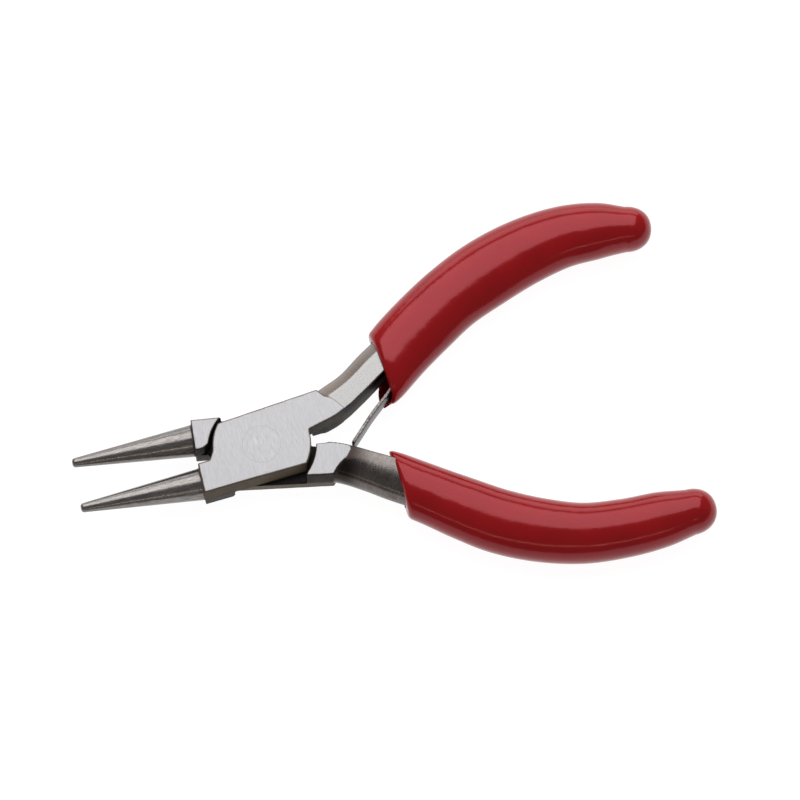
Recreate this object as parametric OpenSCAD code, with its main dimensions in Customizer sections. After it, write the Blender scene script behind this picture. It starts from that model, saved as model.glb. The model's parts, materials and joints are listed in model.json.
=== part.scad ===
// Round nose pliers for jewellery making: lap joint, one leaf return spring, dipped vinyl grips.
// Millimetres. Origin: on the pivot axis in the plane of the joint's back face.
// +X runs towards the handles and halves the open jaws, +Z leaves the joint's front face.

/* [Joint] */
// thickness of the closed lap joint, ground face to ground face
joint_h = 8; // [6:0.1:12]
// radius of the rounded end of each lap plate
lap_r = 9.2; // [7:0.05:12]
// radius of the round recess in the handle shoulder
recess_r = 10.35; // [8:0.05:13]
// gap between the two sliding lap faces
lap_gap = 0.04; // [0.02:0.01:0.2]
// angle each half is turned away from the closed position at rest
rest_half_angle = 5.85; // [0:0.05:10]

/* [Pivot rivet] */
// shank diameter of the pivot rivet
rivet_d = 5; // [3:0.1:7]
// diameter of the flush riveted head seen on the ground faces
rivet_head_d = 7.3; // [5:0.1:9]
// depth of the conical head seat
rivet_head_h = 1.2; // [0.5:0.1:2]
// radial running clearance between the rivet and the turning half
rivet_fit = 0.04; // [0.01:0.01:0.1]

/* [Jaws] */
// distance from the pivot axis to the jaw tips
jaw_reach = 35.9; // [25:0.1:50]
// diameter of a jaw cone at its shoulder
jaw_root_d = 6.1; // [4:0.1:8]
// diameter of a jaw cone near its tip
jaw_tip_d = 1.7; // [0.8:0.1:3]
// half of the slit left between the closed jaws
jaw_slit = 0.03; // [0.01:0.01:0.2]

/* [Handles] */
// corner sharpness of the neck section, larger is squarer
neck_square = 4.6; // [2:0.1:8]

/* [Grips] */
// clearance between the tang and the vinyl sleeve
sleeve_fit = 0.06; // [0.02:0.01:0.3]
// roundness of the grip section, 2 is an ellipse
grip_square = 2.1; // [2:0.1:4]
// length of the domed grip end
grip_dome = 5; // [3:0.1:10]
// angle by which the upper grip's mouth leans back from square to the handle
mouth_skew_upper = 31; // [0:1:38]
// angle by which the lower grip's mouth leans back from square to the handle
mouth_skew_lower = 36; // [0:1:38]

/* [Leaf spring] */
// thickness of the spring strip
spring_t = 0.65; // [0.4:0.05:1.5]
// width of the spring strip
spring_w = 4.4; // [3:0.1:6]
// diameter of the rivet that holds the spring root
spring_rivet_d = 2; // [1:0.1:3]

/* [Hidden] */
mid = joint_h / 2;
steel = "silver";
vinyl = "firebrick";
// distance from the pivot axis to the face of the jaw shoulders, where a jaw's inner edge starts
jaw_face = 12.75;
jaw_alpha = atan((jaw_root_d - jaw_tip_d) / 2 / (jaw_reach - jaw_face - 0.15));
// core of a jaw sunk in its shoulder: depth, how far it stays inside the cone, start of the cone
jaw_core_depth = 1.5;
jaw_core_inset = 1.2;
jaw_skin_start = 0.12;
// points round a steel section, a grip section and a sleeve cavity
ring_steel = 32;
ring_grip = 36;
// exponent of the rounded ends of the grips
dome_power = 2.2;
// length by which a tang's blunt end stands past its last station
tang_end = 1.2;
// length of the sleeve cavity past the tang's last station
cavity_end = 1.4;
// cavity starts between these tang stations, outside the sleeve's mouth
cavity_start = 2.6;
// thickness of the spring rivet's head
spring_head_h = 1;
// radius of the spring rivet's head
spring_head_r = 1.6;
// grip depth of the spring rivet in the tang
spring_rivet_depth = 3;
// gap under the spring rivet's head
spring_head_gap = 0.06;
// room left above and below the spring strip in the upper sleeve
spring_room = 0.5;

// tang stations of each half: x, y, half width, half thickness
tang_a = [[11.5, 3.8, 3.1, 3.70], [15.8, 5.0, 3.3, 3.75], [20.0, 6.78, 3.05, 3.75],
          [25.0, 9.7, 3.1, 3.70], [31.0, 12.9, 3.0, 3.40], [39.0, 16.8, 2.8, 3.20],
          [49.0, 20.3, 2.7, 3.10], [60.0, 23.0, 2.6, 3.00], [74.0, 23.4, 2.2, 2.70]];
tang_b = [[11.5, 3.7, 3.0, 3.70], [15.8, 4.8, 3.2, 3.75], [20.0, 6.5, 3.35, 3.75],
          [25.0, 8.85, 3.55, 3.70], [31.0, 12.2, 3.0, 3.40], [39.0, 16.2, 2.8, 3.20],
          [49.0, 20.3, 2.7, 3.10], [60.0, 22.4, 2.6, 3.00], [74.0, 22.0, 2.2, 2.70]];

// grip stations of each half: x, y, half width, half thickness
grip_a = [[27.0, 8.9, 6.3, 5.0], [31.5, 11.9, 6.5, 5.1], [37.0, 15.1, 6.6, 5.2],
          [43.5, 18.45, 6.6, 5.3], [51.0, 21.15, 6.8, 5.3], [59.0, 23.1, 6.55, 5.3],
          [67.0, 23.9, 6.05, 5.2], [74.0, 23.15, 5.5, 5.0], [79.6, 21.75, 4.35, 4.6]];
grip_b = [[25.7, 9.3, 5.6, 4.9], [31.5, 12.25, 5.7, 5.0], [37.0, 15.2, 6.0, 5.2],
          [43.5, 18.4, 6.2, 5.3], [51.0, 20.85, 6.1, 5.3], [59.0, 22.25, 5.8, 5.3],
          [67.0, 22.0, 5.6, 5.2], [74.0, 21.0, 5.3, 5.0], [79.6, 20.1, 4.35, 4.6]];

// leaf spring centre line in the front half's closed frame, root first
spring_path = [[39.0, 13.14], [37.0, 12.12], [35.0, 11.04], [33.2, 9.84], [31.3, 8.13],
               [29.2, 6.05], [26.85, 3.87], [24.3, 1.90], [21.7, -0.08], [19.05, -2.38],
               [16.75, -4.35]];

// ---- curve helpers ----

// station k of a list, extended in a straight line past both ends
function at(s, k) = k < 0 ? 2 * s[0] - s[1]
    : k >= len(s) ? 2 * s[len(s) - 1] - s[len(s) - 2] : s[k];

// smooth curve through the stations at parameter t
function smooth(s, t) =
    let (i = min(max(floor(t), 0), len(s) - 2), u = t - i,
         p0 = at(s, i - 1), p1 = at(s, i), p2 = at(s, i + 1), p3 = at(s, i + 2))
    0.5 * (2 * p1 + (p2 - p0) * u + (2 * p0 - 5 * p1 + 4 * p2 - p3) * u * u
           + (3 * p1 - p0 - 3 * p2 + p3) * u * u * u);

function unit(v) = v / norm(v);

// direction of travel of the curve at t
function heading(s, t) =
    let (d = smooth(s, t + 0.02) - smooth(s, t - 0.02)) unit([d[0], d[1]]);

function spow(v, e) = sign(v) * pow(abs(v), e);

// closed ring of n points about centre c, across heading h, half sizes w and z
function ring(c, h, w, z, sq, n) =
    [for (k = [0 : n - 1])
        let (a = spow(cos(360 * k / n), 2 / sq) * w, b = spow(sin(360 * k / n), 2 / sq) * z)
        [c[0] - h[1] * a, c[1] + h[0] * a, b]];

// direction turned by a degrees
function turned(h, a) = [h[0] * cos(a) - h[1] * sin(a), h[0] * sin(a) + h[1] * cos(a)];

// rings along stations s from t0 to t1, each half size grown by trim; the first ring is
// skewed by skew degrees and the skew fades out over the first fade of the stations
function rings(s, t0, t1, steps, sq, n, trim, skew = 0, fade = 1) =
    [for (k = [0 : steps])
        let (t = t0 + (t1 - t0) * k / steps, p = smooth(s, t),
             a = skew * max(0, 1 - (t - t0) / fade))
        ring([p[0], p[1]], turned(heading(s, t), a), p[2] / cos(a) + trim, p[3] + trim, sq, n)];

// domed end: rings shrinking over length l after the last station
function dome(s, l, sq, n, trim) =
    let (m = len(s) - 1, p = s[m], h = heading(s, m - 0.02))
    [for (u = [0.25, 0.5, 0.7, 0.85, 0.94, 0.985])
        let (f = pow(1 - pow(u, dome_power), 1 / dome_power))
        ring([p[0], p[1]] + h * l * u, h, (p[2] + trim) * f, (p[3] + trim) * f, sq, n)];

// closed solid through a list of rings
module loft(r) {
    n = len(r[0]);
    m = len(r);
    polyhedron(
        points = [for (q = r) each q],
        faces = concat(
            [[for (k = [0 : n - 1]) k]],
            [for (j = [0 : m - 2], k = [0 : n - 1])
                let (k2 = (k + 1) % n) [j * n + k, (j + 1) * n + k, (j + 1) * n + k2]],
            [for (j = [0 : m - 2], k = [0 : n - 1])
                let (k2 = (k + 1) % n) [j * n + k, (j + 1) * n + k2, j * n + k2]],
            [[for (k = [n - 1 : -1 : 0]) (m - 1) * n + k]]));
}

// ---- steel halves, drawn closed: jaw towards -X below y = 0, handle above ----

function arc(c, r, a0, a1, steps) =
    [for (k = [0 : steps]) let (a = a0 + (a1 - a0) * k / steps) c + r * [cos(a), sin(a)]];

// end of the ground face of the lap layer, where the neck begins
neck_line = [[15.6, 4.1], [16.8, 2.2]];

// inner side of the handle shoulder, from the neck to the notch
notch_side = [[15.2, 1.4], [13.4, 0.9]];

// outline of the layer that carries the lap plate and both shoulders
module plate_outline() {
    polygon(concat(
        [[-13.15, -6], [-12.6, -0.1], [-10.3, -0.1], [-10.05, 0.2], [-9.25, 1.45]],
        arc([0, 0], lap_r + 0.1, 168, 138, 10),
        [[-6.5, 6.4], [12.4, 7.2]],
        neck_line,
        notch_side,
        [[9.45, 0.1]],
        arc([0, 0], lap_r + 0.2, -3, -40, 12),
        [[6.6, -6.2]]));
}

// outline of the jaw shoulder in the other layer
module jaw_shoulder_outline() {
    polygon(concat(
        [[-13.15, -6], [-12.6, -0.1], [-11.7, -0.1], [-10.9, -0.35]],
        arc([-0.6, 0.8], 9.6, 191, 226, 10),
        [[-7, -6.25]]));
}

// outline of the handle shoulder in the other layer
module handle_shoulder_outline() {
    polygon(concat(
        [[12.4, 7.2], [13.3, 6.9], [16.5, 2]],
        notch_side,
        arc([0, 0], recess_r, 5, 39, 10)));
}

// round jaw: cone with a rounded tip, its inner edge along y = 0
module jaw() {
    l = jaw_reach - jaw_face;
    rr = jaw_root_d / 2;
    rt = jaw_tip_d / 2;
    translate([-jaw_face, -jaw_slit, 0]) rotate([0, 0, -jaw_alpha]) translate([0, -rr, 0])
        rotate([0, -90, 0]) rotate_extrude($fn = 64)
            polygon(concat([[0, -jaw_core_depth], [rr - jaw_core_inset, -jaw_core_depth],
                            [rr - jaw_core_inset, -jaw_skin_start], [rr, -jaw_skin_start],
                            [rt + 0.06, l - rt * 0.75]],
                [for (a = [15 : 15 : 75]) [rt * cos(a), l - rt * 0.8 + rt * 0.8 * sin(a)]],
                [[0, l]]));
}

// one steel half without its rivet holes
module half_blank(tang) {
    translate([0, 0, lap_gap / 2]) linear_extrude(mid - lap_gap / 2) plate_outline();
    translate([0, 0, -mid]) linear_extrude(joint_h) jaw_shoulder_outline();
    translate([0, 0, -mid]) linear_extrude(joint_h) handle_shoulder_outline();
    jaw();
    loft(concat(
        rings(tang, 0, len(tang) - 1, 32, neck_square, ring_steel, 0),
        [for (f = [0.8, 0.45]) end_ring(tang, tang_end - f, f, 0)]));
}

// ring past a tang's last station, by the given length, scaled by f and grown by trim
function end_ring(tang, past, f, trim) =
    let (m = len(tang) - 1, p = tang[m], h = heading(tang, m - 0.02))
    ring([p[0], p[1]] + h * past, h, p[2] * f + trim, p[3] * f + trim, neck_square, ring_steel);

// rivet hole through the lap, widened by fit, with a conical seat on the ground side
module rivet_hole(fit) {
    translate([0, 0, -joint_h]) cylinder(d = rivet_d + 2 * fit, h = 2 * joint_h, $fn = 96);
    translate([0, 0, mid - rivet_head_h])
        cylinder(d1 = rivet_d + 2 * fit, d2 = rivet_head_d + 2 * fit,
                 h = rivet_head_h, $fn = 96);
}

module front_half() {
    color(steel)
    translate([0, 0, mid]) rotate([0, 0, rest_half_angle])
        difference() {
            half_blank(tang_a);
            rivet_hole(0);
            spring_hole();
        }
}

module back_half() {
    color(steel)
    translate([0, 0, mid]) rotate([180, 0, -rest_half_angle])
        difference() {
            half_blank(tang_b);
            rivet_hole(rivet_fit);
        }
}

// ---- pivot rivet, both heads ground flush ----

module pivot_rivet() {
    hr = rivet_head_d / 2;
    sr = rivet_d / 2;
    color("lightgray")
    rotate_extrude($fn = 96)
        polygon([[0, 0], [hr, 0], [sr, rivet_head_h], [sr, joint_h - rivet_head_h],
                 [hr, joint_h], [0, joint_h]]);
}

// ---- leaf spring, riveted to the front half's tang inside the upper grip ----

rivet_at = spring_path[1];
rivet_turn = 180 + atan2(heading(spring_path, 1)[1], heading(spring_path, 1)[0]);

// points of the strip on one side of its centre line
function strip_side(o) =
    [for (k = [0 : 0.25 : len(spring_path) - 1])
        let (p = smooth(spring_path, k), h = heading(spring_path, k))
        p + o * [-h[1], h[0]]];

module spring_hole() {
    translate([rivet_at[0], rivet_at[1], 0]) rotate([0, 0, rivet_turn]) rotate([-90, 0, 0])
        translate([0, 0, -2 * spring_head_h])
            cylinder(d = spring_rivet_d, h = spring_rivet_depth + 2 * spring_head_h, $fn = 48);
}

module leaf_spring() {
    a = strip_side(spring_t / 2);
    b = strip_side(-spring_t / 2);
    color("gainsboro")
    translate([0, 0, mid]) rotate([0, 0, rest_half_angle])
        difference() {
            translate([0, 0, -spring_w / 2]) linear_extrude(spring_w)
                polygon(concat(a, [for (k = [len(b) - 1 : -1 : 0]) b[k]]));
            spring_hole();
        }
}

module spring_rivet() {
    seat = spring_t / 2 + spring_head_gap;
    color("darkgray")
    translate([0, 0, mid]) rotate([0, 0, rest_half_angle])
    translate([rivet_at[0], rivet_at[1], 0]) rotate([0, 0, rivet_turn]) rotate([-90, 0, 0])
        rotate_extrude($fn = 48)
            polygon([[0, -spring_head_h], [spring_head_r - 0.4, -spring_head_h],
                     [spring_head_r, 0.2 - spring_head_h], [spring_head_r, -seat],
                     [spring_rivet_d / 2, -seat], [spring_rivet_d / 2, spring_rivet_depth],
                     [0, spring_rivet_depth]]);
}

// ---- vinyl grips ----

// sleeve: outer skin over the stations, cavity following the tang
module sleeve(grip, tang, skew, pocket) {
    difference() {
        loft(concat(rings(grip, 0, len(grip) - 1, 28, grip_square, ring_grip, 0, -skew),
                    dome(grip, grip_dome, grip_square, ring_grip, 0)));
        loft(concat(rings(tang, cavity_start, len(tang) - 1, 22, neck_square, ring_steel,
                          sleeve_fit),
                    [end_ring(tang, cavity_end, 1, sleeve_fit)]));
        if (pocket) spring_pocket();
    }
}

// room for the spring root and its rivet head, open at the mouth of the sleeve
module spring_pocket() {
    translate([0, 0, -spring_w / 2 - spring_room]) linear_extrude(spring_w + 2 * spring_room)
        polygon([[40.3, 14.6], [41.0, 13.0], [38.6, 11.0], [35.2, 9.1], [32.4, 7.2], [30.2, 5.2],
                 [27.0, 0.8], [22.0, 4.5], [25.6, 8.4], [31.0, 12.0], [39.0, 15.6]]);
}

module upper_grip() {
    color(vinyl)
    translate([0, 0, mid]) rotate([0, 0, rest_half_angle])
        sleeve(grip_a, tang_a, mouth_skew_upper, true);
}

module lower_grip() {
    color(vinyl)
    translate([0, 0, mid]) rotate([180, 0, -rest_half_angle])
        sleeve(grip_b, tang_b, mouth_skew_lower, false);
}

front_half();
back_half();
pivot_rivet();
leaf_spring();
spring_rivet();
upper_grip();
lower_grip();
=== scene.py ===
import json
import math
import bpy
import numpy as np
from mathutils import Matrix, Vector


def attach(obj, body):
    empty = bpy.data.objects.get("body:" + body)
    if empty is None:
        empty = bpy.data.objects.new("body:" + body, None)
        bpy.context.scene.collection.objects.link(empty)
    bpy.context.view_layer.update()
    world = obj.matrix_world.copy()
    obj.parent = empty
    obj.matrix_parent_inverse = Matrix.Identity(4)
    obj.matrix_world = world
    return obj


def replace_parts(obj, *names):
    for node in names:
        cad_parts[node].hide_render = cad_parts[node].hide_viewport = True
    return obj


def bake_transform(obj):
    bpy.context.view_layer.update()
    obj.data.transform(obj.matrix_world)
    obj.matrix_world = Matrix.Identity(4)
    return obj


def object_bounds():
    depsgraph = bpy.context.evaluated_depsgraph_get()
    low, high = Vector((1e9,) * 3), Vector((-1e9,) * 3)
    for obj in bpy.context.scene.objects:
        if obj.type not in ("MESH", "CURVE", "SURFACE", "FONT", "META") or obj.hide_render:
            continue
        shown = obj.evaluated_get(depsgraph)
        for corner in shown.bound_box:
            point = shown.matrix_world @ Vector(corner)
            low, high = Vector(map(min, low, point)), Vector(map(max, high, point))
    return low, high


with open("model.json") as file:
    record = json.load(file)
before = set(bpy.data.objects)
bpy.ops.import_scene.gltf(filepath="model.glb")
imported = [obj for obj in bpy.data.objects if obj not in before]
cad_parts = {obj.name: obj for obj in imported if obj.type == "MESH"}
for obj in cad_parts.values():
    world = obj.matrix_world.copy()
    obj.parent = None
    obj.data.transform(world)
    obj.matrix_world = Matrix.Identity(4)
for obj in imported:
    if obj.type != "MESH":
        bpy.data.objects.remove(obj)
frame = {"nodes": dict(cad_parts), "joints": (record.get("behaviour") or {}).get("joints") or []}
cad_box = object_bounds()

# Round nose pliers. Shapes are worked out in millimetres in each half's own closed frame
# (jaw towards -X below y = 0, handle above, z = 0 between the laps) and then placed in metres.

MM = 0.001
MID = frame["joints"][0]["pos_m"][2] / MM
OPEN = math.radians(5.85)
FLOOR_Z = cad_box[0][2]

# ---------------------------------------------------------------- steel halves: dimensions

LAP_R = 9.2
RECESS_R = 10.35
HALF_H = 3.995
LAP_GAP = 0.02
DRAFT = math.tan(math.radians(6))
RIVET_R = 3.65
RIVET_SEAT = 0.35

# round jaw: how far its tip and its root are from the pivot, and the run its lean is worked out over
JAW_REACH = 35.9
JAW_BASE = 12.75
JAW_LENGTH = JAW_REACH - JAW_BASE
JAW_LEAN_RUN = JAW_REACH - 12.9
JAW_ROOT_R = 3.05
JAW_TIP_R = 0.85
JAW_TIP_EDGE = 0.55
JAW_SINK = 0.5
JAW_OPENING = 0.03

# edge radii and fillets of the forging
SIDE_EDGE = 0.3
BLOCK_EDGE = 0.12
JAW_BLOCK_EDGE = 0.06
FACE_EDGE = 0.14
NECK_EDGE = 0.15
NECK_CORNER = 0.3
NECK_FILLET = 0.55
JAW_FILLET = 0.12
TANG_EDGE = 1.5
TANG_END_EDGE = 0.8

# bare neck: share of the half width where the outer bevel starts, its direction, and the crown behind
NECK_MARGIN = 0.3
WALL_FLARE = 0.25
WALL_DRAFT = 0.06
BEVEL_START = 0.28
BEVEL_NORMAL = (0.62, 0.785)
BEVEL_EDGE = 1.2
CROWN_R = 2.3
CROWN_OFFSET = 0.49
CROWN_EDGE = 1.6
HEEL_RISE = 0.42
FLAT_RISE = 0.08
BARE_END, BARE_FADE = 3.4, 0.8

MESH_STEP = 0.18

# tang stations: x, y, half width, half thickness
TANG = {
    "front": [(11.5, 3.8, 3.1, 3.7), (15.8, 5.0, 3.3, 3.75), (20.0, 6.78, 3.05, 3.75),
              (25.0, 9.7, 3.1, 3.7), (31.0, 12.9, 3.0, 3.4), (39.0, 16.8, 2.8, 3.2),
              (49.0, 20.3, 2.7, 3.1), (60.0, 23.0, 2.6, 3.0), (74.0, 23.4, 2.2, 2.7)],
    "back": [(11.5, 3.7, 3.0, 3.7), (15.8, 4.8, 3.2, 3.75), (20.0, 6.5, 3.35, 3.75),
             (25.0, 8.85, 3.55, 3.7), (31.0, 12.2, 3.0, 3.4), (39.0, 16.2, 2.8, 3.2),
             (49.0, 20.3, 2.7, 3.1), (60.0, 22.4, 2.6, 3.0), (74.0, 22.0, 2.2, 2.7)],
}

# grip stations: x, y, half width, half thickness
GRIP = {
    "front": [(27.0, 8.9, 6.3, 5.0), (31.5, 11.9, 6.5, 5.1), (37.0, 15.1, 6.6, 5.2),
              (43.5, 18.45, 6.6, 5.3), (51.0, 21.15, 6.8, 5.3), (59.0, 23.1, 6.55, 5.3),
              (67.0, 23.9, 6.05, 5.2), (74.0, 23.15, 5.5, 5.0), (79.6, 21.75, 4.35, 4.6)],
    "back": [(25.7, 9.3, 5.6, 4.9), (31.5, 12.25, 5.7, 5.0), (37.0, 15.2, 6.0, 5.2),
             (43.5, 18.4, 6.2, 5.3), (51.0, 20.85, 6.1, 5.3), (59.0, 22.25, 5.8, 5.3),
             (67.0, 22.0, 5.6, 5.2), (74.0, 21.0, 5.3, 5.0), (79.6, 20.1, 4.35, 4.6)],
}
TANG_SPANS = len(TANG["front"]) - 1
GRIP_SPANS = len(GRIP["front"]) - 1
GRIP_RING_POINTS = 72
GRIP_DOME = 5.0
GRIP_POWER = 2.1
DOME_POWER = 2.2
MOUTH_SKEW = {"front": 31, "back": 36}

# mouth of a sleeve: lip radius in mm, spans per mm, and the cavity's depth in spans
LIP = 0.6
SPANS_PER_MM = 1 / 6.4
MOUTH_FADE = 0.9
MOUTH_TAPER, MOUTH_TAPER_RUN = 0.45, 2.2
CAVITY_SPANS = 1.6
CAVITY_POWER = 3.2
CAVITY_PLAY = 0.1
SLEEVE_WALL = 0.9

SPRING_T = 0.65
SPRING_W = 4.4
SPRING_EDGE = 0.16
SPRING_PATH = [(39.0, 13.14), (37.0, 12.12), (35.0, 11.04), (33.2, 9.84), (31.3, 8.13),
               (29.2, 6.05), (26.85, 3.87), (24.3, 1.90), (21.7, -0.08), (19.05, -2.38),
               (16.75, -4.35)]
SPRING_BLEND = [(28.0, 4.4, 0), (17.2, -4.1, 0)]


# ---------------------------------------------------------------- placing a half in the frame

def place(points, body):
    """Points of one half, in its closed frame in mm, to the row frame in metres."""
    p = np.array(points, float)
    if body == "back":
        p[:, 1:] *= -1
    a = OPEN if body == "front" else -OPEN
    x = p[:, 0] * math.cos(a) - p[:, 1] * math.sin(a)
    y = p[:, 0] * math.sin(a) + p[:, 1] * math.cos(a)
    return np.stack([x, y, p[:, 2] + MID], 1) * MM


# ---------------------------------------------------------------- smooth curves

def smooth(stations, t):
    """Catmull-Rom curve through the stations at parameters t."""
    s = np.asarray(stations, float)
    s = np.vstack([2 * s[0] - s[1], s, 2 * s[-1] - s[-2]])
    t = np.asarray(t, float)
    i = np.clip(np.floor(t).astype(int), 0, len(s) - 4)
    u = (t - i)[:, None]
    p0, p1, p2, p3 = s[i], s[i + 1], s[i + 2], s[i + 3]
    return 0.5 * (2 * p1 + (p2 - p0) * u + (2 * p0 - 5 * p1 + 4 * p2 - p3) * u ** 2
                  + (3 * p1 - p0 - 3 * p2 + p3) * u ** 3)


def headings(stations, t):
    """Unit directions of the curve in the plane."""
    d = (smooth(stations, np.asarray(t) + 0.02) - smooth(stations, np.asarray(t) - 0.02))[:, :2]
    return d / np.linalg.norm(d, axis=1)[:, None]


# ---------------------------------------------------------------- distance fields

def arc(r, a0, a1, steps, centre=(0, 0)):
    """Points of an arc from a0 to a1 degrees."""
    a = np.radians(np.linspace(a0, a1, steps + 1))
    return [(centre[0] + r * math.cos(v), centre[1] + r * math.sin(v)) for v in a]


FAR = 1e9


def polygon_distance(x, y, corners):
    """Signed distance to a closed outline, negative inside."""
    c = np.asarray(corners, float)
    best = np.full(x.shape, FAR)
    sign = np.ones(x.shape)
    for (ax, ay), (bx, by) in zip(c, np.roll(c, -1, axis=0)):
        ex, ey = bx - ax, by - ay
        wx, wy = x - ax, y - ay
        h = np.clip((wx * ex + wy * ey) / (ex * ex + ey * ey), 0, 1)
        best = np.minimum(best, (wx - ex * h) ** 2 + (wy - ey * h) ** 2)
        crosses = ((ay > y) != (by > y)) & (x < (bx - ax) * (y - ay) / (by - ay + 1e-12) + ax)
        sign = np.where(crosses, -sign, sign)
    return sign * np.sqrt(best)


def line_distance(x, y, a, b):
    """Signed distance to the line from a to b, negative on its right."""
    ex, ey = b[0] - a[0], b[1] - a[1]
    return ((y - a[1]) * ex - (x - a[0]) * ey) / math.hypot(ex, ey)


def cut(a, b, r):
    """Both shapes' common part, its new edge rounded to radius r."""
    return np.minimum(np.maximum(a, b), -r) + np.hypot(np.maximum(a + r, 0), np.maximum(b + r, 0))


def join(a, b, r):
    """Both shapes together, with a fillet of radius r."""
    return -cut(-a, -b, r)


PLATE = ([(-13.15, -8), (-12.6, -0.1), (-10.3, -0.1), (-10.05, 0.2), (-9.25, 1.45)]
         + arc(LAP_R + 0.1, 168, 138, 10)
         + [(-6.2, 9), (11.6, 9), (13.2, 6.6), (15.6, 4.1), (16.8, 2.2), (15.2, 1.4), (13.4, 0.9),
            (9.45, 0.1)]
         + arc(LAP_R + 0.2, -3, -40, 12) + [(6.2, -8)])
JAW_BLOCK = ([(-13.15, -8), (-12.6, -0.1), (-11.7, -0.1), (-10.9, -0.35)]
             + arc(9.6, 191, 226, 10, (-0.6, 0.8)) + [(-6.6, -8)])
HANDLE_BLOCK = ([(11.6, 9), (13.3, 6.9), (16.5, 2.0), (15.2, 1.4), (13.4, 0.9)]
                + arc(RECESS_R, 5, 39, 10) + [(7.6, 9)])
TOP_LINE = ((-6.5, 6.4), (12.4, 7.2))
BOTTOM_LINE = ((6.6, -6.2), (-13.15, -6.0))


def plane_fields(x, y, body):
    """Everything about a half that depends only on x and y."""
    f = {"plate": polygon_distance(x, y, PLATE),
         "jaw_block": polygon_distance(x, y, JAW_BLOCK),
         "handle_block": polygon_distance(x, y, HANDLE_BLOCK),
         "top": line_distance(x, y, *TOP_LINE),
         "bottom": line_distance(x, y, *BOTTOM_LINE),
         "r": np.hypot(x, y)}
    lean = math.atan((JAW_ROOT_R - JAW_TIP_R) / JAW_LEAN_RUN)
    ux, uy = -math.cos(lean), math.sin(lean)
    bx = -JAW_BASE - JAW_ROOT_R * math.sin(lean)
    by = -JAW_OPENING - JAW_ROOT_R * math.cos(lean)
    f["jaw_along"] = (x - bx) * ux + (y - by) * uy
    f["jaw_across"] = (x - bx) * uy - (y - by) * ux
    t = np.linspace(0, TANG_SPANS, 16 * TANG_SPANS + 1)
    p = smooth(TANG[body], t)
    best = np.full(x.shape, FAR)
    f["tang_t"] = np.zeros(x.shape)
    f["tang_s"] = np.zeros(x.shape)
    f["tang_end"] = np.zeros(x.shape)
    for k in range(len(t) - 1):
        ex, ey = p[k + 1, :2] - p[k, :2]
        n = math.hypot(ex, ey)
        wx, wy = x - p[k, 0], y - p[k, 1]
        raw = (wx * ex + wy * ey) / (n * n)
        h = np.clip(raw, 0, 1)
        d2 = (wx - ex * h) ** 2 + (wy - ey * h) ** 2
        near = d2 < best
        best = np.where(near, d2, best)
        f["tang_t"] = np.where(near, t[k] + (t[k + 1] - t[k]) * h, f["tang_t"])
        f["tang_s"] = np.where(near, (wy * ex - wx * ey) / n, f["tang_s"])
        over = (raw - 1) * n if k == len(t) - 2 else (-raw * n if k == 0 else -9.0)
        f["tang_end"] = np.where(near, over, f["tang_end"])
    f["tang_w"] = np.interp(f["tang_t"], t, p[:, 2])
    f["tang_h"] = np.interp(f["tang_t"], t, p[:, 3])
    return f


def half_distance(f, z):
    """Signed distance to one steel half. z > 0 is the lap plate's side."""
    az = np.abs(z)
    draft = DRAFT * (HALF_H - az)
    sides = cut(f["top"] - draft, f["bottom"] - draft, SIDE_EDGE)
    plate = cut(cut(f["plate"], sides, BLOCK_EDGE), np.maximum(z - HALF_H, LAP_GAP - z), FACE_EDGE)
    jaw_block = cut(cut(f["jaw_block"], sides, JAW_BLOCK_EDGE), az - HALF_H, FACE_EDGE)
    handle_block = cut(cut(f["handle_block"], sides, BLOCK_EDGE), az - HALF_H, FACE_EDGE)
    block = np.minimum(np.minimum(plate, jaw_block), handle_block)

    # bare neck and tang: flat on the lap side with a broad outer bevel, crowned on the other
    s, w, h = f["tang_s"], f["tang_w"], f["tang_h"]
    inner, outer = -s - w, s - w - NECK_MARGIN
    bevel = (s - BEVEL_START * w) * BEVEL_NORMAL[0] + (z - h) * BEVEL_NORMAL[1]
    flat = cut(cut(inner, z - h - FLAT_RISE, NECK_EDGE), cut(outer, bevel, BEVEL_EDGE), NECK_CORNER)
    rise = h + HEEL_RISE * (1 - ramp(f["tang_t"], 0.4, 2.2))
    crown_r = CROWN_R * w
    crown = cut(inner, np.hypot(s + CROWN_OFFSET * w, -z - rise + crown_r) - crown_r, NECK_EDGE)
    crown = cut(crown, outer, CROWN_EDGE)
    walls = np.maximum(s - w - WALL_FLARE + WALL_DRAFT * az, inner)
    rounded = cut(walls, az - h, TANG_EDGE)
    fade = np.clip((f["tang_t"] - BARE_END) / BARE_FADE, 0, 1)
    neck = cut(flat, crown, NECK_CORNER) * (1 - fade) + rounded * fade
    neck = cut(cut(neck, f["tang_end"], TANG_END_EDGE), az - HALF_H, 0.1)

    # round jaw
    along, radial = f["jaw_along"], np.hypot(f["jaw_across"], z)
    slope = (JAW_ROOT_R - JAW_TIP_R) / JAW_LENGTH
    cone = (radial - JAW_ROOT_R + slope * along) / math.hypot(1, slope)
    jaw = cut(cut(cone, along - JAW_LENGTH, JAW_TIP_EDGE), -JAW_SINK - along, 0.05)

    solid = np.maximum(join(block, neck, NECK_FILLET), az - HALF_H)
    solid = join(solid, jaw, JAW_FILLET)
    return np.maximum(solid, RIVET_R - RIVET_SEAT - f["r"])


# ---------------------------------------------------------------- surface of a distance field

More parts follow.
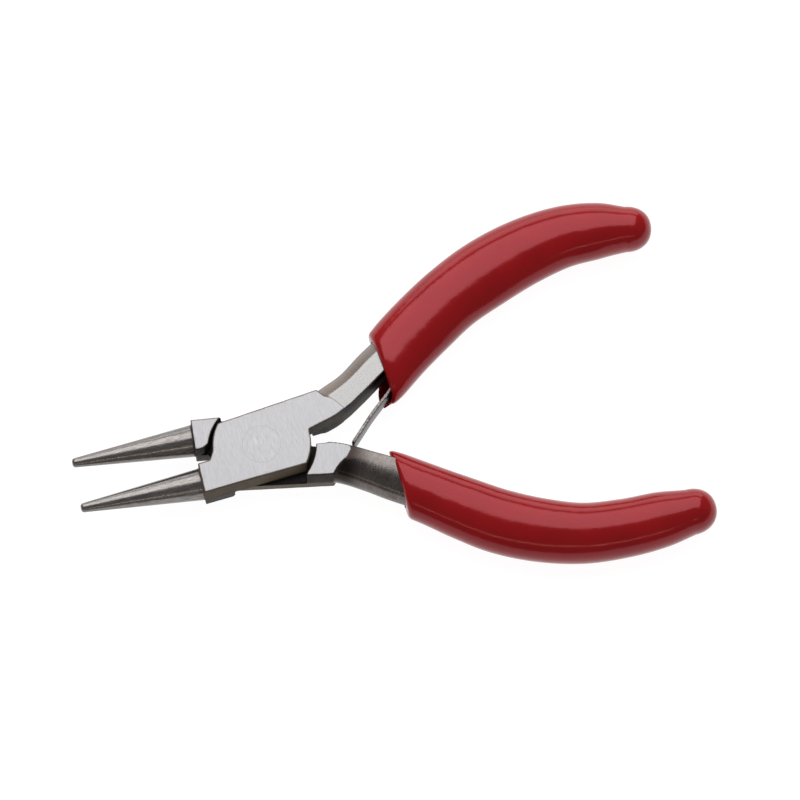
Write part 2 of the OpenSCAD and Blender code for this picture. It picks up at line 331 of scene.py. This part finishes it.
def surface_net(values, origin, step):
    """Quads round the zero level of a grid of distances."""
    inside = values < 0
    c = [inside[i:inside.shape[0] - 1 + i, j:inside.shape[1] - 1 + j, k:inside.shape[2] - 1 + k]
         for i in (0, 1) for j in (0, 1) for k in (0, 1)]
    count = sum(a.astype(np.int8) for a in c)
    cells = np.argwhere((count > 0) & (count < 8))
    index = -np.ones(count.shape, np.int32)
    index[tuple(cells.T)] = np.arange(len(cells))
    total = np.zeros((len(cells), 3))
    hits = np.zeros(len(cells))
    corners = [(i, j, k) for i in (0, 1) for j in (0, 1) for k in (0, 1)]
    for a in corners:
        for axis in range(3):
            if a[axis]:
                continue
            b = list(a)
            b[axis] = 1
            va = values[tuple((cells + a).T)]
            vb = values[tuple((cells + b).T)]
            on = (va < 0) != (vb < 0)
            u = np.where(on, va / np.where(on, va - vb, 1), 0)
            q = np.array(a, float)[None, :] + np.eye(3)[axis][None, :] * u[:, None]
            total += np.where(on[:, None], q, 0)
            hits += on
    points = (cells + total / hits[:, None]) * step + origin
    quads = []
    for axis in range(3):
        lo = [slice(None)] * 3
        hi = [slice(None)] * 3
        lo[axis], hi[axis] = slice(0, -1), slice(1, None)
        change = inside[tuple(lo)] != inside[tuple(hi)]
        at = np.argwhere(change)
        u, v = [k for k in range(3) if k != axis]
        at = at[(at[:, u] > 0) & (at[:, v] > 0)
                & (at[:, u] < values.shape[u] - 1) & (at[:, v] < values.shape[v] - 1)]
        du, dv = np.eye(3, dtype=int)[u], np.eye(3, dtype=int)[v]
        q = np.stack([index[tuple((at - du - dv).T)], index[tuple((at - dv).T)],
                      index[tuple(at.T)], index[tuple((at - du).T)]], 1)
        flip = inside[tuple(at.T)]
        if axis == 1:
            flip = ~flip
        q[~flip] = q[~flip][:, ::-1]
        quads.append(q)
    return points, np.vstack(quads)


def half_mesh(body, step):
    """Points and quads of one steel half in its closed frame, in mm."""
    x = np.arange(-37.0, 77.0, step)
    y = np.arange(-7.6, 28.0, step)
    z = np.arange(-HALF_H - 2.5 * step, HALF_H + 3 * step, step)
    gx, gy = np.meshgrid(x, y, indexing="ij")
    f = {k: v[:, :, None].astype(np.float32) for k, v in plane_fields(gx, gy, body).items()}
    values = half_distance(f, z[None, None, :].astype(np.float32))
    points, quads = surface_net(values, np.array([x[0], y[0], z[0]]), step)

    def distance_at(dx=0.0, dy=0.0, dz=0.0):
        x, y, z = (points + (dx, dy, dz)).T
        return half_distance(plane_fields(x, y, body), z)

    # move the points on to the true surface
    e = 0.01
    for _ in range(3):
        here = distance_at()
        grad = np.stack([distance_at(dx=e), distance_at(dy=e), distance_at(dz=e)], 1) - here[:, None]
        grad /= np.maximum(np.linalg.norm(grad, axis=1), 1e-9)[:, None]
        points = points - grad * np.clip(here, -0.3 * step, 0.3 * step)[:, None]
    return points, quads


# ---------------------------------------------------------------- making objects

def make_object(name, points, faces, material, body=None):
    """A smooth-shaded mesh object, riding on a body if one is given."""
    mesh = bpy.data.meshes.new(name)
    mesh.from_pydata([tuple(p) for p in points], [], [tuple(int(i) for i in q) for q in faces])
    mesh.validate()
    mesh.update()
    mesh.shade_smooth()
    mesh.materials.append(material)
    obj = bpy.data.objects.new(name, mesh)
    bpy.context.scene.collection.objects.link(obj)
    if body:
        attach(obj, body)
    return obj


def add_values(obj, name, values):
    """A named number per vertex, read by the materials."""
    data = obj.data.attributes.new(name, "FLOAT", "POINT").data
    data.foreach_set("value", np.asarray(values, np.float32))


def add_vectors(obj, name, vectors):
    """A named vector per vertex, read by the materials."""
    data = obj.data.attributes.new(name, "FLOAT_VECTOR", "POINT").data
    data.foreach_set("vector", np.asarray(vectors, np.float32).ravel())


def ramp(v, a, b):
    """0 below a, 1 above b, smooth between."""
    u = np.clip((v - a) / (b - a), 0, 1)
    return u * u * (3 - 2 * u)


def steel_half(name, body, material):
    """One forging, with the masks and the grain direction that its material reads."""
    points, quads = half_mesh(body, MESH_STEP)
    f = plane_fields(points[:, 0], points[:, 1], body)
    obj = make_object(name, place(points, body), quads, material, body)
    x, y, z = points.T
    in_block = ramp(-np.minimum(np.minimum(f["plate"], f["jaw_block"]), f["handle_block"]), -0.4, 0)
    add_values(obj, "jaw", 1 - ramp(x, -13.4, -12.7))
    neck_flat = (1 - ramp(f["tang_h"] + 0.05 - z, 0.03, 0.2)) * ramp(x, 12.5, 14.5)
    add_values(obj, "neck_flat", neck_flat)
    normals = np.empty(len(points) * 3, np.float32)
    obj.data.vertex_normals.foreach_get("vector", normals)
    level = np.abs(normals.reshape(-1, 3)[:, 2])
    add_values(obj, "ground", ramp(np.abs(z), HALF_H - 0.1, HALF_H - 0.03)
               * ramp(level, 0.99, 0.999) * ramp(in_block, 0.7, 0.95))
    across_neck = -f["tang_s"] - 0.55 * f["tang_w"]
    inner = ramp(across_neck, 0.0, 0.3) * ramp(x, 12.0, 14.0)
    # side faces of the blocks and the neck's inner side, which the material paints with a dark
    # reflection and shade
    add_values(obj, "wall", np.maximum(in_block * (1 - ramp(level, 0.9, 0.999)),
                                       inner * (1 - ramp(level, 0.5, 0.85))))
    # the neck's inner side alone, painted near-black as shade
    add_values(obj, "inner", inner * (1 - in_block))
    add_values(obj, "bevel", ramp(level, 0.5, 0.65) * (1 - ramp(level, 0.86, 0.97)) * (z > 1.5)
               * ramp(x, 12.5, 13.5) * (f["tang_s"] > 0))
    # neck just behind the shoulder on the crowned side, painted darker as shade where it dips
    add_values(obj, "painted_heel_shade", (1 - ramp(f["tang_t"], 1.0, 2.1)) * ramp(x, 12.0, 13.0) * (z < 0))
    # flat faces inside the joint, below the ground faces, which get painted shade as a recess
    joint = (f["r"] < LAP_R + 2.3) & (np.abs(z) < 3.2)
    add_values(obj, "deep", ramp(level, 0.4, 0.7) * joint)
    on_tang = ramp(x, 12.0, 15.0)
    along = x * (1 - on_tang) + (f["tang_t"] * 8 + 12) * on_tang
    across = y * (1 - on_tang) + f["tang_s"] * on_tang
    on_jaw = x < -12.9
    around = np.arctan2(z, f["jaw_across"]) * 2
    along = np.where(on_jaw, -f["jaw_along"] - 13, along)
    across = np.where(on_jaw, around, across)
    add_vectors(obj, "grain", np.stack([along, across, z], 1))
    return obj


# ---------------------------------------------------------------- node materials

class Nodes:
    """Short way to write a node tree."""

    def __init__(self, name):
        self.material = bpy.data.materials.new(name)
        self.material.use_nodes = True
        self.tree = self.material.node_tree
        self.shader = next(n for n in self.tree.nodes if n.type == "BSDF_PRINCIPLED")

    def add(self, kind, inputs=None, **settings):
        node = self.tree.nodes.new(kind)
        for k, v in settings.items():
            setattr(node, k, v)
        for k, v in (inputs or {}).items():
            self.link(v, node.inputs[k])
        return node

    def link(self, value, socket):
        if isinstance(value, bpy.types.NodeSocket):
            self.tree.links.new(value, socket)
        else:
            socket.default_value = value

    def value(self, name):
        return self.add("ShaderNodeAttribute", attribute_name=name).outputs["Fac"]

    def vector(self, name):
        return self.add("ShaderNodeAttribute", attribute_name=name).outputs["Vector"]

    def math(self, kind, a, b):
        return self.add("ShaderNodeMath", {0: a, 1: b}, operation=kind).outputs[0]

    def scaled(self, vector, scale):
        node = self.add("ShaderNodeMapping", {"Vector": vector, "Scale": scale})
        return node.outputs["Vector"]

    def noise(self, vector, scale, detail=3.0, roughness=0.5):
        node = self.add("ShaderNodeTexNoise", {"Vector": vector, "Scale": scale,
                                               "Detail": detail, "Roughness": roughness})
        return node.outputs["Fac"]

    def mix(self, fac, a, b):
        node = self.add("ShaderNodeMix", data_type="RGBA")
        self.link(fac, node.inputs["Factor"])
        self.link(a, node.inputs[6])
        self.link(b, node.inputs[7])
        return node.outputs[2]

    def mix_value(self, fac, a, b):
        node = self.add("ShaderNodeMix", data_type="FLOAT")
        self.link(fac, node.inputs["Factor"])
        self.link(a, node.inputs[2])
        self.link(b, node.inputs[3])
        return node.outputs[0]

    def spread(self, value, low, high, to_low=0.0, to_high=1.0):
        node = self.add("ShaderNodeMapRange", {"Value": value, "From Min": low, "From Max": high,
                                               "To Min": to_low, "To Max": to_high})
        return node.outputs["Result"]

    def bump(self, height, strength, distance, normal=None):
        inputs = {"Height": height, "Strength": strength, "Distance": distance}
        if normal is not None:
            inputs["Normal"] = normal
        return self.add("ShaderNodeBump", inputs).outputs["Normal"]


# scale that turns metres into the millimetres the noise sizes are in
PER_MM = (1000, 1000, 1000)


def rgb(r, g, b):
    """An sRGB colour of 0 to 255 as the linear colour the shader takes."""
    lin = [v / 255 / 12.92 if v <= 10 else ((v / 255 + 0.055) / 1.055) ** 2.4 for v in (r, g, b)]
    return (*lin, 1.0)


def forged_steel():
    """Ground faces, dull forged necks and jaws, and painted shade and painted dark reflection on the
    side walls, the joint's recesses and the neck behind the shoulder, told apart by the masks.
    """
    n = Nodes("forged_steel")
    grain = n.vector("grain")
    ground, jaw, neck_flat, wall, deep, bevel = (
        n.value(k) for k in ("ground", "jaw", "neck_flat", "wall", "deep", "bevel"))
    height = n.add("ShaderNodeSeparateXYZ", {0: grain}).outputs["Z"]

    # ground faces: fine grain across the tool
    cross = n.noise(n.scaled(grain, (9.0, 0.35, 1.0)), 1.6, 4.0, 0.62)
    cross_fine = n.noise(n.scaled(grain, (26.0, 0.8, 1.0)), 1.4, 2.0, 0.6)
    cloud = n.noise(grain, 0.22, 2.0)
    face_tone = n.math("ADD", n.math("MULTIPLY", cross, 0.6), n.math("MULTIPLY", cross_fine, 0.4))
    face = n.mix(n.spread(face_tone, 0.36, 0.64), rgb(135, 134, 136), rgb(172, 171, 173))
    face = n.mix(n.spread(cloud, 0.4, 0.62, 0.0, 0.25), face, rgb(153, 151, 151))

    # forged and tumbled steel: dull grey with a soft speckle and a little brown
    speck = n.noise(grain, 3.6, 3.0, 0.7)
    fleck = n.noise(grain, 5.5, 2.0, 0.6)
    blotch = n.noise(n.scaled(grain, (0.6, 1.2, 1.0)), 0.55, 3.0, 0.55)
    streak = n.noise(n.scaled(grain, (6.0, 0.5, 0.5)), 1.1, 3.0, 0.6)
    body = n.mix(n.spread(speck, 0.38, 0.62), rgb(90, 84, 82), rgb(114, 108, 106))
    body = n.mix(n.spread(streak, 0.42, 0.66, 0.0, 0.6), body, rgb(128, 123, 121))
    body = n.mix(n.spread(blotch, 0.45, 0.7, 0.0, 0.6), body, rgb(86, 76, 68))
    flat = n.mix(n.spread(fleck, 0.36, 0.64), rgb(130, 128, 128), rgb(144, 142, 142))
    # painted shade where the neck dips behind the shoulder
    body = n.mix(n.value("painted_heel_shade"), body, rgb(50, 43, 41))
    sloped = n.mix(n.spread(height, 2.2, 3.7), rgb(150, 139, 133), rgb(122, 111, 103))
    body = n.mix(bevel, n.mix(neck_flat, body, flat), sloped)
    jaw_tone = n.mix(n.spread(n.noise(n.scaled(grain, (0.5, 6.0, 1.0)), 1.3, 3.0), 0.4, 0.65),
                     rgb(116, 111, 109), rgb(142, 138, 136))
    colour = n.mix(jaw, body, jaw_tone)

    # side walls: painted dark reflection of the surroundings in place of metal, a lighter and a
    # darker tone either side of the parting line; the inner neck walls get near-black painted shade
    painted_reflection_band = n.math("ADD", n.spread(height, -1.0, 1.0), n.spread(blotch, 0.3, 0.7, -0.3, 0.3))
    scale = n.mix(painted_reflection_band, rgb(46, 41, 39), rgb(98, 88, 74))
    scale = n.mix(n.spread(speck, 0.35, 0.65, 0.0, 0.4), scale, rgb(50, 43, 39))
    dark = n.mix(n.spread(height, -0.6, 1.2), rgb(84, 70, 66), rgb(14, 9, 9))
    colour = n.mix(wall, colour, n.mix(n.value("inner"), scale, dark))
    colour = n.mix(ground, colour, face)
    # painted shade on the recessed faces inside the joint
    colour = n.mix(deep, colour, rgb(30, 26, 25))
    n.link(colour, n.shader.inputs["Base Color"])
    # the walls and recesses with painted shade and reflection, and part of the bevel, lose their
    # metal here
    scaled = n.math("MAXIMUM", n.math("MULTIPLY", wall, n.math("SUBTRACT", 1.0, ground)), deep)
    scaled = n.math("MAXIMUM", scaled, n.math("MULTIPLY", bevel, 0.6))
    n.link(n.spread(scaled, 0.0, 1.0, 0.95, 0.0), n.shader.inputs["Metallic"])
    n.link(0.05, n.shader.inputs["Specular IOR Level"])

    rough = n.mix_value(jaw, n.spread(speck, 0.3, 0.7, 0.22, 0.31),
                        n.spread(blotch, 0.3, 0.7, 0.19, 0.27))
    rough = n.mix_value(wall, rough, 0.5)
    rough = n.mix_value(ground, rough, n.spread(face_tone, 0.35, 0.65, 0.36, 0.46))
    n.link(rough, n.shader.inputs["Roughness"])

    brushed = n.bump(n.math("MULTIPLY", face_tone, ground), 0.35, 0.00004)
    unground = n.math("SUBTRACT", 1.0, ground)
    tumbled = n.bump(n.math("MULTIPLY", speck, unground), 0.25, 0.00006, brushed)
    n.link(tumbled, n.shader.inputs["Normal"])
    return n.material


def rivet_steel():
    """The ground heads, with the same grain as the face round them and a faint ring."""
    n = Nodes("rivet_steel")
    where = n.add("ShaderNodeTexCoord").outputs["Object"]
    flat = n.add("ShaderNodeVectorMath", {0: where, 1: (1, 1, 0)}, operation="MULTIPLY").outputs[0]
    r = n.add("ShaderNodeVectorMath", {0: flat}, operation="LENGTH").outputs["Value"]
    turned = n.scaled(n.add("ShaderNodeMapping", {"Vector": where, "Rotation": (0, 0, -OPEN)}
                            ).outputs["Vector"], (9000, 350, 1000))
    grain = n.noise(turned, 1.6, 4.0, 0.62)
    ring = n.spread(r, (RIVET_R - 0.11) * MM, (RIVET_R - 0.05) * MM)
    face = n.mix(n.spread(grain, 0.36, 0.64), rgb(136, 135, 137), rgb(172, 171, 173))
    n.link(n.mix(ring, face, rgb(136, 135, 136)), n.shader.inputs["Base Color"])
    n.link(0.95, n.shader.inputs["Metallic"])
    n.link(n.spread(grain, 0.35, 0.65, 0.36, 0.46), n.shader.inputs["Roughness"])
    n.link(n.bump(grain, 0.35, 0.00004), n.shader.inputs["Normal"])
    return n.material


def spring_steel():
    """Dull spring strip with brighter, speckled narrow edges."""
    n = Nodes("spring_steel")
    where = n.add("ShaderNodeTexCoord").outputs["Object"]
    rim = n.value("rim")
    speck = n.noise(n.scaled(where, PER_MM), 3.2, 3.0, 0.6)
    streak = n.noise(n.scaled(where, (400, 400, 2600)), 1.2, 3.0, 0.5)
    colour = n.mix(n.spread(speck, 0.4, 0.6), rgb(84, 76, 77), rgb(104, 97, 98))
    bright = n.mix(n.spread(speck, 0.42, 0.62), rgb(84, 78, 77), rgb(150, 146, 145))
    colour = n.mix(rim, colour, bright)
    n.link(n.mix(n.spread(streak, 0.4, 0.7, 0.0, 0.4), colour, rgb(74, 67, 65)),
           n.shader.inputs["Base Color"])
    n.link(0.95, n.shader.inputs["Metallic"])
    n.link(n.spread(speck, 0.3, 0.7, 0.25, 0.45), n.shader.inputs["Roughness"])
    n.link(n.bump(speck, 0.3, 0.00005), n.shader.inputs["Normal"])
    return n.material


def red_vinyl():
    """Glossy dipped vinyl with a slight ripple."""
    n = Nodes("red_vinyl")
    where = n.scaled(n.add("ShaderNodeTexCoord").outputs["Object"], PER_MM)
    cloud = n.noise(where, 0.12, 3.0, 0.5)
    fine = n.noise(where, 1.6, 3.0, 0.55)
    base = n.mix(n.spread(cloud, 0.35, 0.65), rgb(139, 14, 17), rgb(147, 16, 19))
    base = n.mix(n.spread(fine, 0.4, 0.75, 0.0, 0.2), base, rgb(132, 14, 17))
    n.link(base, n.shader.inputs["Base Color"])
    n.link(n.spread(fine, 0.3, 0.7, 0.13, 0.19), n.shader.inputs["Roughness"])
    n.link(1.62, n.shader.inputs["IOR"])
    n.link((1.0, 0.36, 0.41, 1.0), n.shader.inputs["Specular Tint"])
    n.link(0.06, n.shader.inputs["Subsurface Weight"])
    n.link((0.8, 0.15, 0.1), n.shader.inputs["Subsurface Radius"])
    n.link(0.0012, n.shader.inputs["Subsurface Scale"])
    ripple = n.noise(where, 0.35, 2.0, 0.5)
    wavy = n.bump(ripple, 0.25, 0.0002)
    n.link(n.bump(fine, 0.12, 0.00003, wavy), n.shader.inputs["Normal"])
    return n.material


def floor_material():
    """Plain floor that reads as white paper under the lights."""
    n = Nodes("floor_white")
    where = n.add("ShaderNodeTexCoord").outputs["Object"]
    tone = n.noise(where, 3.0, 2.0)
    n.link(n.mix(n.spread(tone, 0.3, 0.7), rgb(104, 104, 104), rgb(107, 107, 107)),
           n.shader.inputs["Base Color"])
    n.link(0.8, n.shader.inputs["Roughness"])
    n.link(0.0, n.shader.inputs["Specular IOR Level"])
    n.link((1, 1, 1, 1), n.shader.inputs["Emission Color"])
    n.link(0.955, n.shader.inputs["Emission Strength"])
    return n.material


# ---------------------------------------------------------------- lofted pieces

def ring_points(centre, heading, w, h, power, count):
    """Closed ring across a heading: superellipse with half sizes w in the plane and h in z."""
    a = np.linspace(0, 2 * math.pi, count, endpoint=False)
    c, s = np.cos(a), np.sin(a)
    u = np.sign(c) * np.abs(c) ** (2 / power) * w
    v = np.sign(s) * np.abs(s) ** (2 / power) * h
    return np.stack([centre[0] - heading[1] * u, centre[1] + heading[0] * u, v], 1)


def turned(heading, degrees):
    """A heading turned in the plane."""
    a = math.radians(degrees)
    return (heading[0] * math.cos(a) - heading[1] * math.sin(a),
            heading[0] * math.sin(a) + heading[1] * math.cos(a))


def loft_faces(rings, count):
    """Faces through rings of count points each, closed at both ends."""
    faces = []
    for j in range(rings - 1):
        for k in range(count):
            k2 = (k + 1) % count
            faces.append((j * count + k, j * count + k2, (j + 1) * count + k2, (j + 1) * count + k))
    faces.append(tuple(range(count - 1, -1, -1)))
    faces.append(tuple((rings - 1) * count + k for k in range(count)))
    return faces


def mouth_offset(body, count):
    """How far each point of a mouth's rim stands out past the mouth's plane."""
    a = np.linspace(0, 2 * math.pi, count, endpoint=False)

    def bump(at, width):
        d = np.angle(np.exp(1j * (a - math.radians(at))))
        return np.exp(-(d / math.radians(width)) ** 2)

    rag = 0.10 * np.sin(7 * a + 0.6) + 0.07 * np.sin(13 * a + 2.1) + 0.05 * np.sin(23 * a)
    if body == "front":
        return (0.7 + 0.2 * bump(0, 40) - 0.5 * bump(190, 24) + 2.6 * bump(238, 30)
                + 1.3 * bump(180, 11) + 2.2 * rag * bump(205, 40))
    return 0.3 + 0.1 * bump(0, 40) + 0.7 * bump(200, 35) + 0.3 * rag


def grip_rings(body, count):
    """Rings of a sleeve from deep in its cavity, out over the lip and on to the domed end."""
    grip = GRIP[body]
    mouth = mouth_offset(body, count)
    tang_t = np.linspace(1, 5, 200)
    tang = smooth(TANG[body], tang_t)

    def slant(t):
        """Degrees that a ring is turned back by, all of it at the mouth and none one span in."""
        return -MOUTH_SKEW[body] * max(0.0, 1 - t)

    def ragged(ring, t, heading):
        """The ring with the mouth's uneven rim added, less and less with t."""
        ring[:, :2] -= np.outer(mouth * (1 - ramp(np.array(t), 0.0, MOUTH_FADE)), heading)
        return ring

    def outside(t, shrink):
        """Ring of the outer surface, drawn in by shrink."""
        p = smooth(grip, [t])[0]
        heading = headings(grip, [t])[0]
        shrink = shrink + MOUTH_TAPER * max(0.0, 1 - t / SPANS_PER_MM / MOUTH_TAPER_RUN) ** 2
        ring = ring_points(p[:2], turned(heading, slant(t)),
                           p[2] / math.cos(math.radians(slant(t))) - shrink,
                           p[3] - shrink, GRIP_POWER, count)
        return ragged(ring, t, heading)

    def cavity(t):
        """Cavity ring near the mouth: hugs the neck, and on the sprung side leaves room."""
        p = smooth(grip, [t])[0]
        heading = headings(grip, [t])[0]
        across = turned(heading, slant(t))
        normal = np.array([-across[1], across[0]])
        offset = tang[:, :2] - p[:2]
        k = np.argmin(np.abs(offset @ np.array(across)))
        middle = float(offset[k] @ normal)
        run = headings(TANG[body], [tang_t[k]])[0]
        half_width = (tang[k, 2] + NECK_MARGIN) / max(0.4, float(run @ np.array(across)))
        outer = middle + half_width + 0.05
        inner = middle - half_width - 0.02
        if body == "front":
            room = -(p[2] / math.cos(math.radians(slant(t))) - SLEEVE_WALL)
            inner = inner + (room - inner) * (1 - ramp(np.array(t), 0.5, 1.5))
        ring = ring_points(p[:2] + normal * (outer + inner) / 2, across, (outer - inner) / 2,
                           tang[k, 3] + CAVITY_PLAY, CAVITY_POWER, count)
        return ragged(ring, t, heading)

    rings = [cavity(t) for t in np.linspace(CAVITY_SPANS, 0.0, 15)]
    rim = outside(0.0, LIP)
    for share in (0.1, 0.85):
        rings.append(rings[14] * (1 - share) + rim * share)
    for a in np.radians([90, 72, 54, 36, 18]):
        rings.append(outside(LIP * (1 - math.sin(a)) * SPANS_PER_MM, LIP * (1 - math.cos(a))))
    for t in np.linspace(LIP * SPANS_PER_MM, GRIP_SPANS, 100):
        rings.append(outside(t, 0.0))
    end = smooth(grip, [GRIP_SPANS])[0]
    heading = headings(grip, [GRIP_SPANS - 0.02])[0]
    for u in (0.12, 0.25, 0.38, 0.5, 0.6, 0.7, 0.78, 0.85, 0.9, 0.94, 0.97, 0.99, 0.998):
        f = (1 - u ** DOME_POWER) ** (1 / DOME_POWER)
        rings.append(ring_points(end[:2] + heading * GRIP_DOME * u, heading, end[2] * f, end[3] * f,
                                 GRIP_POWER, count))
    return rings


def make_grip(name, body, material):
    """A dipped sleeve with its cavity."""
    rings = grip_rings(body, GRIP_RING_POINTS)
    points = place(np.vstack(rings), body)
    return make_object(name, points, loft_faces(len(rings), GRIP_RING_POINTS), material, body)


def make_spring(material):
    """Leaf spring: a strip with rounded edges, bent between the two halves."""
    t = np.linspace(0, len(SPRING_PATH) - 1, 121)
    path = smooth([(x, y, 0, 0) for x, y in SPRING_PATH], t)[:, :2]
    head = headings([(x, y, 0, 0) for x, y in SPRING_PATH], t)
    r = SPRING_EDGE
    a, b = SPRING_T / 2 - r, SPRING_W / 2 - r
    corners = ((a, b, 0), (-a, b, 90), (-a, -b, 180), (a, -b, 270))
    section = np.array([v for cx, cz, start in corners
                        for v in arc(r, start, start + 90, 3, (cx, cz))])
    rings = []
    for k, (p, h) in enumerate(zip(path, head)):
        end = min(k, len(path) - 1 - k)
        f = (0.8, 0.95)[end] if end < 2 else 1.0
        u = section[:, 0] * f
        rings.append(np.stack([p[0] - h[1] * u, p[1] + h[0] * u,
                               section[:, 1] - np.sign(section[:, 1]) * (1 - f) * 0.8], 1))
    obj = make_object("spring_leaf", place(np.vstack(rings), "front"),
                      loft_faces(len(rings), len(section)), material)
    side = np.abs(section[:, 1]) > b
    add_values(obj, "rim", np.tile(side.astype(np.float32), len(rings)))
    start, end = place(SPRING_BLEND, "front")
    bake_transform(obj)
    return obj


# ---------------------------------------------------------------- build the pliers

steel = forged_steel()
rivet = rivet_steel()
spring = spring_steel()
vinyl = red_vinyl()

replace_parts(steel_half("forging_front", "front", steel), "front_half")
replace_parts(steel_half("forging_back", "back", steel), "back_half")
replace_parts(make_grip("sleeve_upper", "front", vinyl), "upper_grip")
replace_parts(make_grip("sleeve_lower", "back", vinyl), "lower_grip")
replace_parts(make_spring(spring), "leaf_spring")
for node, material in (("pivot_rivet", rivet), ("spring_rivet", spring)):
    mesh = frame["nodes"][node].data
    mesh.materials.clear()
    mesh.materials.append(material)

# ---------------------------------------------------------------- floor, light and camera

AIM = Vector((27.66, 4.60, 3.97)) * MM
AZIMUTH, ELEVATION = math.radians(-11.4), math.radians(72.5)
DISTANCE = 1.0
VIEW_WIDTH = 0.1524
SENSOR_WIDTH = 36
FLOOR_HALF = 3.0
SKY_STRENGTH = 0.22

# lights: degrees from straight up, length and width in metres, radiance, colour
LIGHT_DISTANCE = 1.0
LIGHTS = {"softbox": (31.75, 1.3, 0.986, 2.6, (1.0, 1.0, 1.0)),
          "high_panel": (78, 1.3, 0.38, 1.7, (1.0, 1.0, 1.0)),
          "low_strip": (-57, 1.2, 0.03, 5.0, (1.0, 0.86, 0.66))}

away = Vector((math.sin(AZIMUTH) * math.cos(ELEVATION), -math.cos(AZIMUTH) * math.cos(ELEVATION),
               math.sin(ELEVATION)))


def make_floor():
    s = FLOOR_HALF
    corners = [(-s, -s, FLOOR_Z), (s, -s, FLOOR_Z), (s, s, FLOOR_Z), (-s, s, FLOOR_Z)]
    make_object("floor", corners, [(0, 1, 2, 3)], floor_material())


def area_light(name, tilt, size_x, size_y, radiance, colour):
    """A light panel seen from the pliers tilt degrees from straight up, away from the camera."""
    a = math.radians(tilt)
    towards = Vector((math.sin(a) * math.sin(-AZIMUTH), math.sin(a) * math.cos(AZIMUTH), math.cos(a)))
    light = bpy.data.lights.new(name, "AREA")
    light.shape = "RECTANGLE"
    light.size, light.size_y = size_x, size_y
    light.energy = radiance * math.pi * size_x * size_y
    light.color = colour
    obj = bpy.data.objects.new(name, light)
    obj.location = AIM + towards * LIGHT_DISTANCE
    obj.rotation_mode = "QUATERNION"
    obj.rotation_quaternion = towards.to_track_quat("Z", "Y")
    bpy.context.scene.collection.objects.link(obj)


def make_camera():
    camera = bpy.data.cameras.new("camera")
    camera.sensor_width = SENSOR_WIDTH
    camera.lens = SENSOR_WIDTH * DISTANCE / VIEW_WIDTH
    camera.clip_start, camera.clip_end = 0.01, 20
    obj = bpy.data.objects.new("camera", camera)
    obj.location = AIM + away * DISTANCE
    obj.rotation_mode = "QUATERNION"
    obj.rotation_quaternion = away.to_track_quat("Z", "Y")
    bpy.context.scene.collection.objects.link(obj)
    bpy.context.scene.camera = obj


def make_world():
    world = bpy.data.worlds.new("studio")
    world.use_nodes = True
    background = world.node_tree.nodes["Background"]
    background.inputs["Color"].default_value = (1, 1, 1, 1)
    background.inputs["Strength"].default_value = SKY_STRENGTH
    bpy.context.scene.world = world


make_floor()
for light_name, settings in LIGHTS.items():
    area_light(light_name, *settings)
make_camera()
make_world()
bpy.context.scene.view_settings.view_transform = "Standard"
